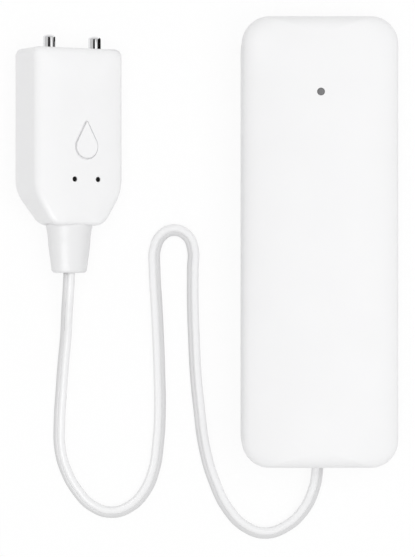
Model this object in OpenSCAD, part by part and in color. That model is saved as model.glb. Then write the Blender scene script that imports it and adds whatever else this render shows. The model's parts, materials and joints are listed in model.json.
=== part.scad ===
// Wired water leak sensor: a battery unit and a two-pin probe on a short cord.
// The unit lies on its back at z = 0, its domed front faces +Z and its cord end faces -Y.

/* [Cells] */
// Diameter of one AAA cell
cell_d = 10.5; // [10:0.1:11]
// Length of one AAA cell with its tip
cell_l = 44.5; // [43:0.1:46]
// Gap between the two cells
cell_gap = 0.3; // [0.1:0.1:1]
// Diameter of the positive tip
tip_d = 3.8; // [3:0.1:5]
// Length of the positive tip
tip_l = 0.8; // [0.5:0.1:1.5]
// Edge rounding of the cell can
cell_edge = 0.5; // [0.2:0.1:1]

/* [Case] */
// Wall of the front shell
wall = 1.5; // [1.3:0.1:2]
// Room between a cell and the side wall
side_room = 0.6; // [0.4:0.1:2]
// Corner radius of the case seen from the front
corner_r = 4.5; // [4:0.1:6]
// Height of the domed part of the front
dome_h = 4.5; // [3.5:0.1:5]
// Length over which the dome falls at the two ends
dome_end = 3.2; // [2.6:0.1:5]
// Fullness of the dome, more is squarer
dome_power = 2.5; // [2:0.1:4]
// Room between the circuit board and the top of the dome inside
part_room = 2.7; // [2.7:0.1:5]
// Length of the bay where the cord comes in
cord_bay_l = 18.5; // [18:0.5:30]
// Gap between the tray and the end walls
end_room = 0.5; // [0.3:0.1:0.8]
// Diameter of the indicator window
led_d = 1.15; // [0.8:0.05:3]
// Distance of the indicator from the top end
led_from_top = 12.5; // [9:0.5:20]

/* [Back cover] */
// Thickness of the sliding back cover
cover_t = 1.6; // [1.4:0.1:2.5]
// Thickness of the tongues along its edges
tongue_t = 0.8; // [0.6:0.1:0.9]
// Reach of a tongue into its groove
tongue_w = 0.7; // [0.4:0.1:0.8]
// Sliding clearance of the cover
slide_clear = 0.15; // [0.1:0.05:0.3]
// Number of thumb grooves
grip_count = 5; // [3:1:7]
// Length of the middle thumb groove
grip_l = 12; // [8:1:16]
// Width of a thumb groove
grip_w = 0.8; // [0.5:0.1:1.2]
// Step from groove to groove
grip_step = 1.8; // [1.5:0.1:2.5]
// Depth of a thumb groove
grip_depth = 0.4; // [0.2:0.1:0.6]

/* [Battery tray] */
// Thickness of the tray's end walls
bay_wall = 1.2; // [1:0.1:2]
// Tray thickness over the cells
tray_t = 1.25; // [1:0.05:2]
// Clearance between a cell and its cradle
cradle_clear = 0.25; // [0.1:0.05:0.5]
// Gap between a cell and the back cover
cell_clear = 0.4; // [0.3:0.1:1]
// How far the cradle reaches down beside the cells
cradle_drop = 4; // [3:0.1:4]
// Gap between the tray and the side walls
tray_edge = 0.25; // [0.15:0.05:0.4]
// Diameter of the screws
screw_d = 1.9; // [1.6:0.1:2.2]
// Length of the screws under the head
screw_l = 4; // [3:0.5:5]
// Diameter of the screw heads
head_d = 3.6; // [3:0.1:4]
// Height of the screw heads
head_h = 1.2; // [0.8:0.1:1.6]
// Diameter of the screw bosses
boss_d = 4.2; // [4:0.1:5]
// Distance of a boss axis from the inner wall
boss_inset = 3.6; // [3.2:0.1:4.5]
// Length of the tray's locking tabs
tab_l = 0.8; // [0.5:0.1:0.8]
// Width of the tray's locking tabs
tab_w = 4; // [3:0.1:6]

/* [Contacts] */
// Thickness of the contact plates
plate_t = 0.4; // [0.3:0.05:0.6]
// Width of a contact plate
plate_w = 7; // [6:0.1:8]
// Height of a contact plate
plate_h = 5; // [4:0.1:5]
// Width of the solder tabs
solder_w = 2; // [1.5:0.1:3]
// Length of a spring with the cell in place
spring_l = 3.8; // [3.7:0.1:6]
// Wire diameter of the springs
spring_wire = 0.5; // [0.4:0.05:0.5]
// Coil radius at the plate
spring_r = 3.2; // [3:0.1:3.8]
// Coil radius at the cell
spring_tip_r = 2.2; // [1.8:0.1:2.5]
// Turns in a spring
spring_turns = 3; // [2:1:3]

/* [Circuit board] */
// Thickness of the boards
pcb_t = 1; // [0.8:0.1:1.2]
// Height of the tray posts under the board
post_h = 0.8; // [0.5:0.1:1.5]
// Diameter of the tray posts
post_d = 2.4; // [2:0.1:3]
// Gap between the board's edge and the shell
pcb_edge = 0.5; // [0.4:0.1:0.8]
// Width of the radio module
module_w = 13; // [12:0.5:15]
// Length of the radio module
module_l = 18; // [16:0.5:22]
// Thickness of the radio module's board
module_t = 0.8; // [0.6:0.1:1]
// Height of the module's shield can
can_h = 1.1; // [0.8:0.1:1.1]
// Length and width of the indicator chip
chip_size = 1.6; // [1:0.1:2]
// Height of the indicator chip
chip_h = 0.7; // [0.5:0.1:0.7]

/* [Reset button] */
// Width of the switch body
switch_w = 4.5; // [4:0.1:5]
// Height of the switch body
switch_h = 2; // [1.8:0.1:2.5]
// Diameter of the switch plunger
plunger_d = 2.2; // [1.8:0.1:2.6]
// How far the plunger stands out
plunger_out = 0.8; // [0.7:0.1:1.2]
// Travel of the button
button_travel = 0.25; // [0.15:0.05:0.3]
// Diameter of the button's stem
button_d = 3.2; // [2.8:0.1:3.6]
// Diameter of the button's flange
flange_d = 4.4; // [4:0.1:4.6]
// Thickness of the button's flange
flange_t = 0.8; // [0.6:0.1:1]
// Length of the guide tube
guide_l = 5; // [4:0.1:5.5]
// How far the button stands out of its guide
button_out = 1; // [0.6:0.1:1.2]
// Running clearance of the button
button_clear = 0.1; // [0.05:0.05:0.2]

/* [Cord] */
// Diameter of the cord
cord_d = 2; // [1.8:0.1:2.2]
// Clearance around the cord where it passes a wall
cord_clear = 0.2; // [0.15:0.05:0.4]
// Height of the cord hole's lower edge above the cover
cord_lift = 1; // [0.8:0.1:2]
// Diameter of one lead inside the cord
lead_d = 0.8; // [0.6:0.1:0.9]
// Thickness of the ribs that hold the cord's end
rib_t = 1.2; // [1:0.1:1.6]
// Width of the ribs that hold the cord's end
rib_w = 2.5; // [2:0.1:3]
// Length of the lead socket
socket_w = 6; // [5.5:0.1:6.5]
// Depth of the lead socket
socket_d = 4.5; // [4:0.1:5]
// Height of the lead socket
socket_h = 6; // [5.5:0.1:6.5]
// Wall of the lead socket
socket_wall = 0.5; // [0.4:0.1:0.7]
// How far the lead plug stands out of the socket
plug_out = 1.2; // [0.8:0.1:1.5]
// Distance between the two leads in the plug
lead_step = 2; // [1.8:0.1:2.2]

/* [Probe] */
// Width of the probe
probe_w = 16.2; // [15:0.1:18]
// Depth of the probe
probe_d = 8.8; // [8.4:0.1:10]
// Length of the probe body
probe_l = 29.3; // [27:0.1:34]
// Length of the tapered end
taper_l = 5.6; // [4.5:0.1:7]
// Width of the tapered end at the front
neck_w = 9.3; // [8.6:0.1:10]
// Width of the tapered end at the back
neck_back_w = 7.2; // [7:0.1:8]
// Rounding of the front edges
edge_r = 1.45; // [1:0.05:1.5]
// Share of the edge rounding at the tapered end
end_share = 0.5; // [0.4:0.1:1]
// Rounding of the back edges
back_edge_r = 0.6; // [0.4:0.1:1]
// Rounding of the corners at the pin end
top_r = 1.2; // [1:0.1:2]
// Rounding where the taper starts
taper_r = 1.8; // [1.5:0.1:3]
// Height of the front's crown
crown = 0.4; // [0.2:0.05:0.8]
// Width over which the crown rises
crown_w = 4; // [3:0.1:4.5]
// Side wall of the probe shell
probe_wall = 1.6; // [1.5:0.1:1.8]
// Front wall of the probe shell
probe_front_wall = 1.2; // [1:0.1:1.3]
// Thickness of the probe's back plate
back_t = 1.2; // [1:0.1:1.4]
// Clearance of the back plate in the shell
back_clear = 0.1; // [0.05:0.05:0.2]
// Roll of the probe about its long axis as it lies
probe_roll = 30; // [20:1:45]
// How far the drop mark and the drip contacts sit off the middle
mark_x = 0.8; // [0:0.1:1]
// Height of the raised drop mark
drop_h = 0.35; // [0.15:0.05:0.4]
// Radius of the drop mark's round end
drop_r = 1.9; // [1.5:0.1:2.4]
// Distance of the drop mark's tip from its centre
drop_tip = 4; // [3.5:0.1:4.5]
// Distance of the drop mark's centre from the tapered end
drop_y = 13; // [11:0.1:16]
// Diameter of the drip contacts
dot_d = 0.8; // [0.6:0.1:1.2]
// Distance between the drip contacts
dot_step = 4.3; // [4:0.1:6]
// Distance of the drip contacts from the tapered end
dot_y = 7.6; // [6.5:0.1:9]

/* [Probe pins] */
// Diameter of a probe pin
pin_d = 2.1; // [1.6:0.1:2.4]
// Length of a pin outside the probe, without its dome
pin_l = 1.7; // [1.2:0.1:3]
// Height of the pin's domed tip
pin_dome = 0.5; // [0.3:0.05:0.8]
// Distance of a pin's axis from the side of the probe
pin_from_side = 3.9; // [3.6:0.05:4.6]
// How far the pins lie in front of the middle of the depth
pin_forward = 0.7; // [0.4:0.1:1]
// How far the pin's flange stands out around the pin
pin_lip = 0.2; // [0.15:0.05:0.3]
// Thickness of the pin's flange inside
pin_flange_t = 0.8; // [0.6:0.1:1]
// Diameter of the pin's tail
pin_tail_d = 1.2; // [1:0.1:1.4]
// Length of the pin's tail
pin_tail_l = 4; // [3:0.1:5]
// Clearance of a pin or contact in its hole
pin_clear = 0.05; // [0.03:0.01:0.1]

/* [Strain relief] */
// Length of the strain relief outside the probe
relief_l = 7.8; // [6:0.1:12]
// Diameter of the flared end at the probe
relief_top_d = 7.8; // [7:0.1:8]
// Diameter below the flare
relief_mid_d = 7; // [6.2:0.1:7.2]
// Diameter at the cord end
relief_end_d = 5.9; // [5:0.1:6.2]
// How far the strain relief's axis lies behind the middle of the depth
relief_back = 0.3; // [0:0.1:0.4]
// Length of the flare
relief_flare = 3; // [2:0.1:4]
// Rounding of the cord end
relief_round = 0.6; // [0.3:0.1:1]
// Diameter of the neck in the probe's wall
relief_neck_d = 3.4; // [3.2:0.1:3.6]
// Diameter of the collar inside the probe
relief_collar_d = 4; // [3.8:0.1:4.1]
// Thickness of the collar inside the probe
relief_collar_t = 1; // [0.8:0.1:1.4]

/* [Hidden] */
$fn = 48;
eps = 0.01;
thin = 0.1;

// Case sizes worked out from the cells and what lies over them
cell_x = (cell_d + cell_gap) / 2;
cell_z = cover_t + cell_clear + cell_d / 2;
tray_top = cell_z + cell_d / 2 + cradle_clear + tray_t;
pcb_z = tray_top + post_h;
pcb_top = pcb_z + pcb_t;
body_h = pcb_top + part_room + wall;
inner_w = 2 * cell_d + cell_gap + 2 * side_room;
body_w = inner_w + 2 * wall;
bay_l = cell_l + spring_l + 2 * plate_t;
inner_l = end_room + 2 * bay_wall + bay_l + cord_bay_l;
body_l = inner_l + 2 * wall;
inner_r = corner_r - wall;

// Places along the case
tray_y1 = inner_l / 2 - end_room;
tray_y0 = -inner_l / 2 + end_room;
bay_y1 = tray_y1 - bay_wall;
bay_y0 = bay_y1 - bay_l;
cord_bay_y = bay_y0 - bay_wall;
led_y = body_l / 2 - led_from_top;
cover_end_y = body_l / 2 - corner_r;
cover_top = cover_t + slide_clear;
tongue_z = (cover_t - tongue_t) / 2;
boss_x = inner_w / 2 - boss_inset;
boss_y = -inner_l / 2 + boss_inset;
tray_floor = tray_top - tray_t;
tray_w = inner_w - 2 * tray_edge;
tray_r = inner_r - tray_edge;
tray_low = cover_t + cell_clear;
tab_x = tray_w / 4;
tab_t = tray_t - cradle_clear;
post_x = tray_w / 2 - post_d;

// Reset button
reset_x = tray_w / 4;
reset_y = cord_bay_y - socket_d - bay_wall;
switch_z = pcb_z - switch_h;
switch_well = switch_h * 2 / 3;
plunger_z = switch_z - plunger_out;
button_top = plunger_z;
ledge_z = button_top - flange_t - button_clear / 2;
guide_z = ledge_z - guide_l;
guide_w = switch_w + 2 * button_clear + bay_wall;

// Lead socket and plug under the board
socket_x = -tray_w / 4;
socket_y = reset_y;
socket_z = pcb_z - socket_h;
plug_clear = button_clear / 2;
plug_w = socket_w - 2 * socket_wall - 2 * plug_clear;
plug_dep = socket_d - 2 * socket_wall - 2 * plug_clear;
plug_z = socket_z - plug_out;

// Cord end inside the case
cord_z = cover_t + cord_lift + cord_d / 2;
cord_in_y = -inner_l / 2 + 2 * boss_inset;
rib_y = -inner_l / 2 + boss_inset;

// Where the probe lies: on its lower back edge, beside the case
probe_x = -41.1;
probe_y = 2.8;
probe_z = (probe_w / 2 - back_edge_r) * sin(probe_roll) + (probe_d / 2 - back_edge_r) * cos(probe_roll)
    + back_edge_r;
probe_front = probe_d / 2;
probe_face = probe_front - crown;
cavity_top = probe_face - probe_front_wall;
pin_inner_y = probe_l - probe_wall;
pin_step = probe_w - 2 * pin_from_side;
pin_flange_d = pin_d + 2 * pin_lip;
board_top = pin_forward - pin_tail_d / 2;
board_l = pin_inner_y - pin_flange_t - taper_l;
relief_in_y = probe_wall + relief_collar_t;
cord_start_y = relief_in_y + cord_d / 2;

// Loose stretch of the cord: x, y and height of its underside over the surface
cord_points = [
    [-41.4, -8, 6.4], [-41.7, -11.5, 4.7], [-42, -15.5, 2.4], [-42.5, -20, 0.7],
    [-42.9, -25, 0], [-43.2, -30, 0], [-43.1, -34.5, 0], [-42.1, -38.2, 0],
    [-40.2, -41.6, 0], [-37.6, -44.2, 0], [-34.4, -45.2, 0], [-31.3, -44.2, 0],
    [-28.8, -41.6, 0], [-27.3, -38, 0], [-26.6, -33.5, 0], [-26.3, -28, 0],
    [-26.4, -22, 0], [-26.6, -16, 0], [-26.9, -10, 0], [-27.2, -4.5, 0],
    [-27.1, -0.9, 0], [-26, 1.3, 0], [-23.9, 2.2, 0], [-21.8, 1.3, 0],
    [-20.8, -0.9, 0], [-20.8, -4.5, 0], [-20.8, -10, 0], [-20.6, -16, 0],
    [-20.3, -22, 0], [-19.7, -28, 0], [-18.9, -34, 0], [-17.2, -40, 0],
    [-14.8, -44.8, 0], [-12, -47.6, 0], [-8.6, -48.7, 0], [-5.2, -47.6, 0.2],
    [-2.3, -44.9, 0.9], [-0.6, -41.4, 2]
];

function unit(v) = v / norm(v);
function flat(lists) = [for (l = lists) each l];

// Arc of k steps that rounds the corner p between its two neighbours
function corner_arc(before, p, after, r, k) =
    let (u = unit(before - p), v = unit(after - p), turn = 180 - acos(u * v))
    let (centre = p + unit(u + v) * r / cos(turn / 2), start = p + u * r * tan(turn / 2))
    let (a = atan2(start.y - centre.y, start.x - centre.x))
    [for (i = [0:k]) centre + r * [cos(a + turn * i / k), sin(a + turn * i / k)]];

// Convex outline, drawn anticlockwise, with each corner rounded
function rounded(pts, radii, k) =
    let (n = len(pts))
    flat([for (i = [0:n - 1]) corner_arc(pts[(i + n - 1) % n], pts[i], pts[(i + 1) % n], radii[i], k)]);

function at_height(outline, z) = [for (p = outline) [p.x, p.y, z]];

// Solid skinned over rings that have the same number of points
module loft(rings) {
    n = len(rings[0]);
    m = len(rings);
    sides = [for (i = [0:m - 2], j = [0:n - 1])
        let (a = i * n + j, b = i * n + (j + 1) % n)
        each [[a, a + n, b + n], [a, b + n, b]]];
    ends = [[for (j = [0:n - 1]) j], [for (j = [n - 1:-1:0]) (m - 1) * n + j]];
    polyhedron(flat(rings), concat(sides, ends));
}

// Tube along a path; refs gives a direction across the path at each point
module tube(path, refs, r, sides) {
    m = len(path);
    function along(i) =
        unit(i == 0 ? path[1] - path[0] : i == m - 1 ? path[m - 1] - path[m - 2]
        : unit(path[i + 1] - path[i]) + unit(path[i] - path[i - 1]));
    loft([for (i = [0:m - 1])
        let (t = along(i), b = unit(cross(t, refs[i])), n = cross(b, t))
        [for (j = [0:sides - 1]) path[i] + r * (n * cos(360 * j / sides) + b * sin(360 * j / sides))]]);
}

// Rounded plate outline made of true arcs
module plate2d(w, l, r) {
    square([w - 2 * r, l], center = true);
    square([w, l - 2 * r], center = true);
    for (x = [-1, 1], y = [-1, 1])
        translate([x * (w / 2 - r), y * (l / 2 - r)]) circle(r);
}

module box(size, at) {
    translate(at - [size.x / 2, size.y / 2, 0]) cube(size);
}

// Share of the dome's height at a share t of the way in from the edge
function dome_share(t) = pow(1 - pow(1 - t, dome_power), 1 / dome_power);

function case_ring(half_w, half_l, r, z) =
    let (cr = min(r, half_w - thin / 4))
    at_height(rounded([[half_w, -half_l], [half_w, half_l], [-half_w, half_l], [-half_w, -half_l]],
        [cr, cr, cr, cr], 8), z);

// Pillow-fronted block from z0 up to the crown at h
module pillow(w, l, r, z0, h, rise) {
    steps = [0, 0.004, 0.016, 0.04, 0.08, 0.14, 0.22, 0.32, 0.45, 0.6, 0.78, 0.97];
    loft(concat([case_ring(w / 2, l / 2, r, z0)],
        [for (t = steps)
            case_ring(w / 2 * (1 - t), l / 2 - t * dome_end, r, h - rise + rise * dome_share(t))]));
}

module pocket_for_tabs(grow) {
    for (x = [-1, 1])
        box([tab_w + 2 * grow, 2 * (tab_l + end_room + grow), tab_t + 2 * grow],
            [x * tab_x, tray_y1, tray_top - tab_t - grow]);
}

// Domed front shell, open at the back, with bosses and grooves for the cover
module front_shell() {
    pilot = screw_d + thin;
    pilot_top = tray_floor + screw_l + thin;
    collar_d = led_d + 4 * thin + wall;
    color("white") {
        difference() {
            pillow(body_w, body_l, corner_r, 0, body_h, dome_h);
            pillow(inner_w, inner_l, inner_r, -wall, body_h - wall, dome_h - wall / 2);
            for (x = [-1, 1])
                translate([x * inner_w / 2, (cover_end_y - inner_l / 2 + corner_r) / 2, 0])
                    box([2 * (tongue_w + slide_clear), cover_end_y + inner_l / 2 - corner_r + slide_clear * 2,
                        tongue_t + 2 * slide_clear], [0, 0, tongue_z - slide_clear]);
            box([body_w + 2 * wall, corner_r + 2 * slide_clear + wall, cover_top + wall],
                [0, cover_end_y + (corner_r + wall) / 2, -wall]);
            translate([0, -inner_l / 2 + eps, cord_z]) rotate([90, 0, 0])
                cylinder(d = cord_d + 2 * cord_clear, h = wall + 2 * eps);
            translate([0, led_y, body_h - 2 * wall]) cylinder(d = led_d + thin, h = 3 * wall);
            pocket_for_tabs(end_room / 2);
        }
        for (x = [-1, 1])
            translate([x * boss_x, boss_y, tray_top]) difference() {
                cylinder(d = boss_d, h = body_h - wall - tray_top - thin);
                translate([0, 0, -eps]) cylinder(d = pilot, h = pilot_top - tray_top);
            }
        translate([0, led_y, body_h - 2 * wall + thin]) difference() {
            cylinder(d = collar_d, h = wall);
            translate([0, 0, -eps]) cylinder(d = collar_d - wall, h = wall + 2 * eps);
        }
    }
}

// Sliding back cover; its top end has the whole outline of the case
module back_cover() {
    plate_half = inner_w / 2 - slide_clear;
    tongue_y = -inner_l / 2 + corner_r + slide_clear;
    color("whitesmoke") difference() {
        union() {
            intersection() {
                linear_extrude(cover_t)
                    plate2d(2 * plate_half, inner_l - 2 * slide_clear, inner_r - slide_clear);
                box([inner_w, inner_l, cover_t], [0, cover_end_y - inner_l / 2 + eps, 0]);
            }
            translate([0, (tongue_y + cover_end_y) / 2, 0])
                box([inner_w + 2 * tongue_w - 2 * slide_clear, cover_end_y - tongue_y + eps, tongue_t],
                    [0, 0, tongue_z]);
            intersection() {
                linear_extrude(cover_t) plate2d(body_w, body_l, corner_r);
                box([body_w, corner_r, cover_t], [0, cover_end_y + corner_r / 2, 0]);
            }
        }
        for (i = [0:grip_count - 1])
            box([grip_l - abs(i - (grip_count - 1) / 2) * grip_step, grip_w, 2 * grip_depth],
                [0, cover_end_y - (grip_count - i) * grip_step, -grip_depth]);
    }
}

// Tray that carries the cells, the contacts, the button and the cord's end
module battery_tray() {
    tray_l = tray_y1 - tray_y0;
    tray_mid = (tray_y1 + tray_y0) / 2;
    cradle_z = tray_top - cradle_drop;
    color("white") {
        difference() {
            union() {
                translate([0, tray_mid, tray_floor]) linear_extrude(tray_t) plate2d(tray_w, tray_l, tray_r);
                intersection() {
                    translate([0, tray_mid, 0]) linear_extrude(body_h) plate2d(tray_w, tray_l, tray_r);
                    union() {
                        box([tray_w, bay_l, cradle_drop], [0, (bay_y0 + bay_y1) / 2, cradle_z]);
                        for (y = [bay_y0 - bay_wall / 2, bay_y1 + bay_wall / 2])
                            box([tray_w, bay_wall, tray_top - tray_low], [0, y, tray_low]);
                    }
                }
                box([guide_w, guide_w, tray_floor - guide_z + eps], [reset_x, reset_y, guide_z]);
                for (x = [-1, 1])
                    box([rib_w, rib_t, tray_floor - tray_low + eps],
                        [x * (cord_d / 2 + cord_clear + rib_w / 2), rib_y, tray_low]);
                intersection() {
                    pocket_for_tabs(0);
                    box([tray_w, tab_l + 3 * end_room, body_h], [0, tray_y1 + (tab_l + end_room) / 2, 0]);
                }
            }
            for (x = [-cell_x, cell_x])
                translate([x, bay_y0, cell_z]) rotate([-90, 0, 0])
                    cylinder(d = cell_d + 2 * cradle_clear, h = bay_l);
            for (x = [-cell_x, cell_x])
                box([solder_w + 4 * thin, plate_t + 2 * thin, tray_top],
                    [x, bay_y0 + plate_t / 2 + thin, cell_z]);
            box([switch_w + 2 * button_clear, switch_w + 2 * button_clear, body_h],
                [reset_x, reset_y, switch_z - button_clear]);
            translate([reset_x, reset_y, ledge_z]) cylinder(d = flange_d + 4 * button_clear, h = body_h);
            translate([reset_x, reset_y, guide_z - eps])
                cylinder(d = button_d + 2 * button_clear, h = guide_l + 2 * eps);
            box([socket_w + 4 * thin, socket_d + 4 * thin, body_h], [socket_x, socket_y, cell_z]);
            for (x = [-1, 1])
                translate([x * boss_x, boss_y, 0]) cylinder(d = screw_d + 2 * thin, h = body_h);
        }
        for (x = [-1, 1], y = [bay_y1 - post_d, cord_bay_y])
            translate([x * post_x, y, tray_top - eps]) cylinder(d = post_d, h = post_h + eps);
    }
}

// Two screws that hold the tray to the bosses of the shell
module tray_screws() {
    slot_w = head_d / 5;
    slot_l = 3 * slot_w;
    color("silver") for (x = [-1, 1])
        translate([x * boss_x, boss_y, tray_floor]) difference() {
            rotate_extrude()
                polygon([[0, -head_h], [head_d / 3, -head_h], [head_d / 2, -head_h / 2], [head_d / 2, 0],
                    [screw_d / 2, 0], [screw_d / 2, screw_l - screw_d / 2], [0, screw_l]]);
            for (a = [0, 90])
                rotate(a) box([slot_l, slot_w, head_h], [0, 0, -1.5 * head_h]);
        }
}

// Main board with holes for the bosses
module circuit_board() {
    color("darkgreen") difference() {
        translate([0, 0, pcb_z]) linear_extrude(pcb_t)
            plate2d(inner_w - 2 * pcb_edge, inner_l - 2 * pcb_edge, inner_r);
        for (x = [-1, 1])
            translate([x * boss_x, boss_y, 0]) cylinder(d = boss_d + 6 * thin, h = body_h);
    }
}

module radio_module() {
    color("seagreen") box([module_w, module_l, module_t], [0, 0, pcb_top]);
}

// Shield can with a folded rim, over the lower two thirds of the module
module radio_shield() {
    can_w = module_w - 2 * can_h;
    can_l = module_l * 2 / 3;
    can_y = (can_l - module_l) / 2 + can_h / 2;
    color("silver") difference() {
        box([can_w, can_l, can_h], [0, can_y, pcb_top + module_t]);
        box([can_w - 4 * thin, can_l - 4 * thin, can_h - 2 * thin], [0, can_y, pcb_top + module_t - eps]);
    }
}

module status_led() {
    lens_l = chip_size * 2 / 3;
    color("ivory") translate([0, led_y, pcb_top]) {
        box([chip_size, chip_size / 2, chip_h / 2], [0, 0, 0]);
        box([lens_l, chip_size / 2, chip_h], [0, 0, 0]);
    }
}

// Light pipe from the chip to the front, with a flange behind the wall
module light_pipe() {
    pipe_z = pcb_top + chip_h + thin;
    flange_r = led_d / 2 + thin;
    color("dimgray") translate([0, led_y, 0]) rotate_extrude()
        polygon([[0, pipe_z], [led_d / 2, pipe_z], [led_d / 2, body_h - wall - 6 * thin],
            [flange_r, body_h - wall - 6 * thin], [flange_r, body_h - wall - thin],
            [led_d / 2, body_h - wall - thin], [led_d / 2, body_h - thin / 2], [0, body_h - thin / 2]]);
}

module reset_switch() {
    color("dimgray") translate([reset_x, reset_y, switch_z]) difference() {
        box([switch_w, switch_w, switch_h], [0, 0, 0]);
        translate([0, 0, -eps]) cylinder(d = plunger_d + 2 * thin, h = switch_well);
    }
}

module switch_plunger() {
    color("black") translate([reset_x, reset_y, plunger_z])
        cylinder(d = plunger_d, h = plunger_out + switch_well - 2 * button_travel);
}

// Button with a flange above the ledge of its guide
module reset_button() {
    tip = guide_z - button_out;
    edge = button_d / 10;
    color("gainsboro") translate([reset_x, reset_y, 0]) rotate_extrude()
        polygon([[0, tip], [button_d / 2 - edge, tip], [button_d / 2, tip + edge],
            [button_d / 2, button_top - flange_t], [flange_d / 2, button_top - flange_t],
            [flange_d / 2, button_top], [0, button_top]]);
}

// One cell along +Y from its flat end, with its tip at the far end
module cell() {
    can_l = cell_l - tip_l;
    rotate([-90, 0, 0]) rotate_extrude()
        polygon([[0, 0], [cell_d / 2 - cell_edge, 0], [cell_d / 2, cell_edge],
            [cell_d / 2, can_l - cell_edge], [cell_d / 2 - cell_edge, can_l],
            [tip_d / 2, can_l], [tip_d / 2, cell_l], [0, cell_l]]);
}

module cell_left() {
    color("darkslategray") translate([-cell_x, bay_y0 + plate_t + cell_l, cell_z]) rotate(180) cell();
}

module cell_right() {
    color("darkslategray") translate([cell_x, bay_y1 - plate_t - cell_l, cell_z]) cell();
}

// Contact plate at the terminal end, with a tab up to the board
module terminal(x) {
    color("silver") {
        box([plate_w, plate_t, plate_h], [x, bay_y0 + plate_t / 2, cell_z - plate_h / 2]);
        box([solder_w, plate_t, pcb_z - cell_z], [x, bay_y0 + plate_t / 2, cell_z]);
    }
}

module positive_contact() {
    terminal(-cell_x);
}

module negative_contact() {
    terminal(cell_x);
}

// Strip that joins the two cells at the top end
module bridge_contact() {
    color("silver")
        box([2 * cell_x + plate_w, plate_t, plate_h], [0, bay_y1 - plate_t / 2, cell_z - plate_h / 2]);
}

// Tapered coil along +Y: straight ends square to the plate and to the cell
spring_steps = 8 * spring_turns;
function spring_dir(i) = [cos(45 * i), 0, sin(45 * i)];
spring_path = concat([[spring_r, 0, 0]],
    [for (i = [0:spring_steps])
        spring_dir(i) * (spring_r + (spring_tip_r - spring_r) * i / spring_steps)
        + [0, spring_wire + (spring_l - 2 * spring_wire) * i / spring_steps, 0]],
    [spring_dir(spring_steps) * spring_tip_r + [0, spring_l, 0]]);
spring_refs = concat([spring_dir(0)], [for (i = [0:spring_steps]) spring_dir(i)], [spring_dir(spring_steps)]);
spring_gap = min([for (i = [0:spring_steps], j = [i + 5:1:spring_steps + 2])
    norm(spring_path[i] - spring_path[j])]) - spring_wire;
echo(least_gap_between_spring_turns = spring_gap);

module spring() {
    tube(spring_path, spring_refs, spring_wire / 2, 6);
}

module negative_spring() {
    color("silver") translate([cell_x, bay_y0 + plate_t, cell_z]) spring();
}

module bridge_spring() {
    color("silver") translate([-cell_x, bay_y1 - plate_t, cell_z]) rotate(180) spring();
}

// Shrouded two-pin socket that hangs from the board
module lead_socket() {
    inner = [socket_w - 2 * socket_wall, socket_d - 2 * socket_wall, socket_h];
    color("ivory") translate([socket_x, socket_y, socket_z]) difference() {
        box([socket_w, socket_d, socket_h], [0, 0, 0]);
        box(inner, [0, 0, -2 * socket_wall]);
    }
}

// Plug on the cord's leads, pushed up into the socket
module lead_plug() {
    plug_h = socket_h - 2 * socket_wall + plug_out - thin;
    color("white") translate([socket_x, socket_y, plug_z]) difference() {
        union() {
            box([plug_w, plug_dep, plug_h], [0, 0, 0]);
            box([plug_w + socket_wall, plug_dep, plug_out / 2], [0, 0, 0]);
        }
        for (x = [-1, 1])
            translate([x * lead_step / 2, 0, -eps]) cylinder(d = lead_d + 2 * thin, h = plug_out);
    }
}

// Lead from the cord's end up into the plug
module lead_wire(side) {
    x0 = side * cord_d / 4;
    x1 = socket_x + side * lead_step / 2;
    z1 = plug_z + plug_out / 2;
    low = plug_z - 2 * lead_d;
    third = (x1 - x0) / 3;
    spread = side * lead_d * 4 / 5;
    path = [[x0, cord_in_y, cord_z], [x0, cord_in_y + lead_d, cord_z],
        [x0 + third, cord_in_y + 2.5 * lead_d + spread, cord_z + lead_d / 4],
        [x1 - third, socket_y - 3 * lead_d + spread, cord_z + lead_d],
        [x1, socket_y - lead_d, low - lead_d / 2],
        [x1, socket_y, low + lead_d], [x1, socket_y, z1]];
    tube(path, [for (p = path) [1, 0, 0]], lead_d / 2, 8);
}

module lead_wire_left() {
    color("firebrick") lead_wire(-1);
}

module lead_wire_right() {
    color("black") lead_wire(1);
}

// Everything of the probe is drawn flat, then laid on its lower back edge
module lay_probe() {
    translate([probe_x, probe_y, probe_z]) rotate([0, probe_roll, 0]) children();
}

// Outline of the probe drawn in by e, and by end_in at its tapered end
function probe_outline(e, neck, end_in) =
    let (in_w = (probe_w - neck) / 2, n = unit([taper_l, -in_w]))
    let (reach = n * [probe_w / 2, taper_l] - e, half = probe_w / 2 - e)
    let (y_side = (reach - n.x * half) / n.y, x_neck = (reach - n.y * end_in) / n.x)
    let (r_neck = max(edge_r - e, 3 * thin), r_side = max(taper_r - e, 5 * thin))
    let (r_top = max(top_r - e, 5 * thin), top = probe_l - e)
    rounded([[x_neck, end_in], [half, y_side], [half, top], [-half, top], [-half, y_side], [-x_neck, end_in]],
        [r_neck, r_side, r_top, r_top, r_side, r_neck], 5);

function probe_ring(e, z, neck) = at_height(probe_outline(e, neck, e * end_share), z);

// Outline inside the wall, the same at every depth
function probe_inside(e) = probe_outline(e, neck_back_w, e);

// Body of the probe: rounded edges front and back, and a crowned front
module probe_body() {
    back = -probe_d / 2;
    arc = [for (i = [0:6]) i / 6];
    slope = atan(2 * crown / crown_w);
    bend = 90 - slope;
    shoulder = probe_face - edge_r * cos(slope);
    crown_in = edge_r * (1 - sin(slope));
    loft(concat(
        [for (t = arc)
            probe_ring(back_edge_r * (1 - sin(90 * t)), back + back_edge_r * (1 - cos(90 * t)), neck_back_w)],
        [for (t = arc) probe_ring(edge_r * (1 - cos(bend * t)), shoulder + edge_r * sin(bend * t), neck_w)],
        [for (t = [0.2:0.2:1])
            probe_ring(crown_in + crown_w * t, probe_front - crown * pow(1 - t, 2), neck_w)]));
}

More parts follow.
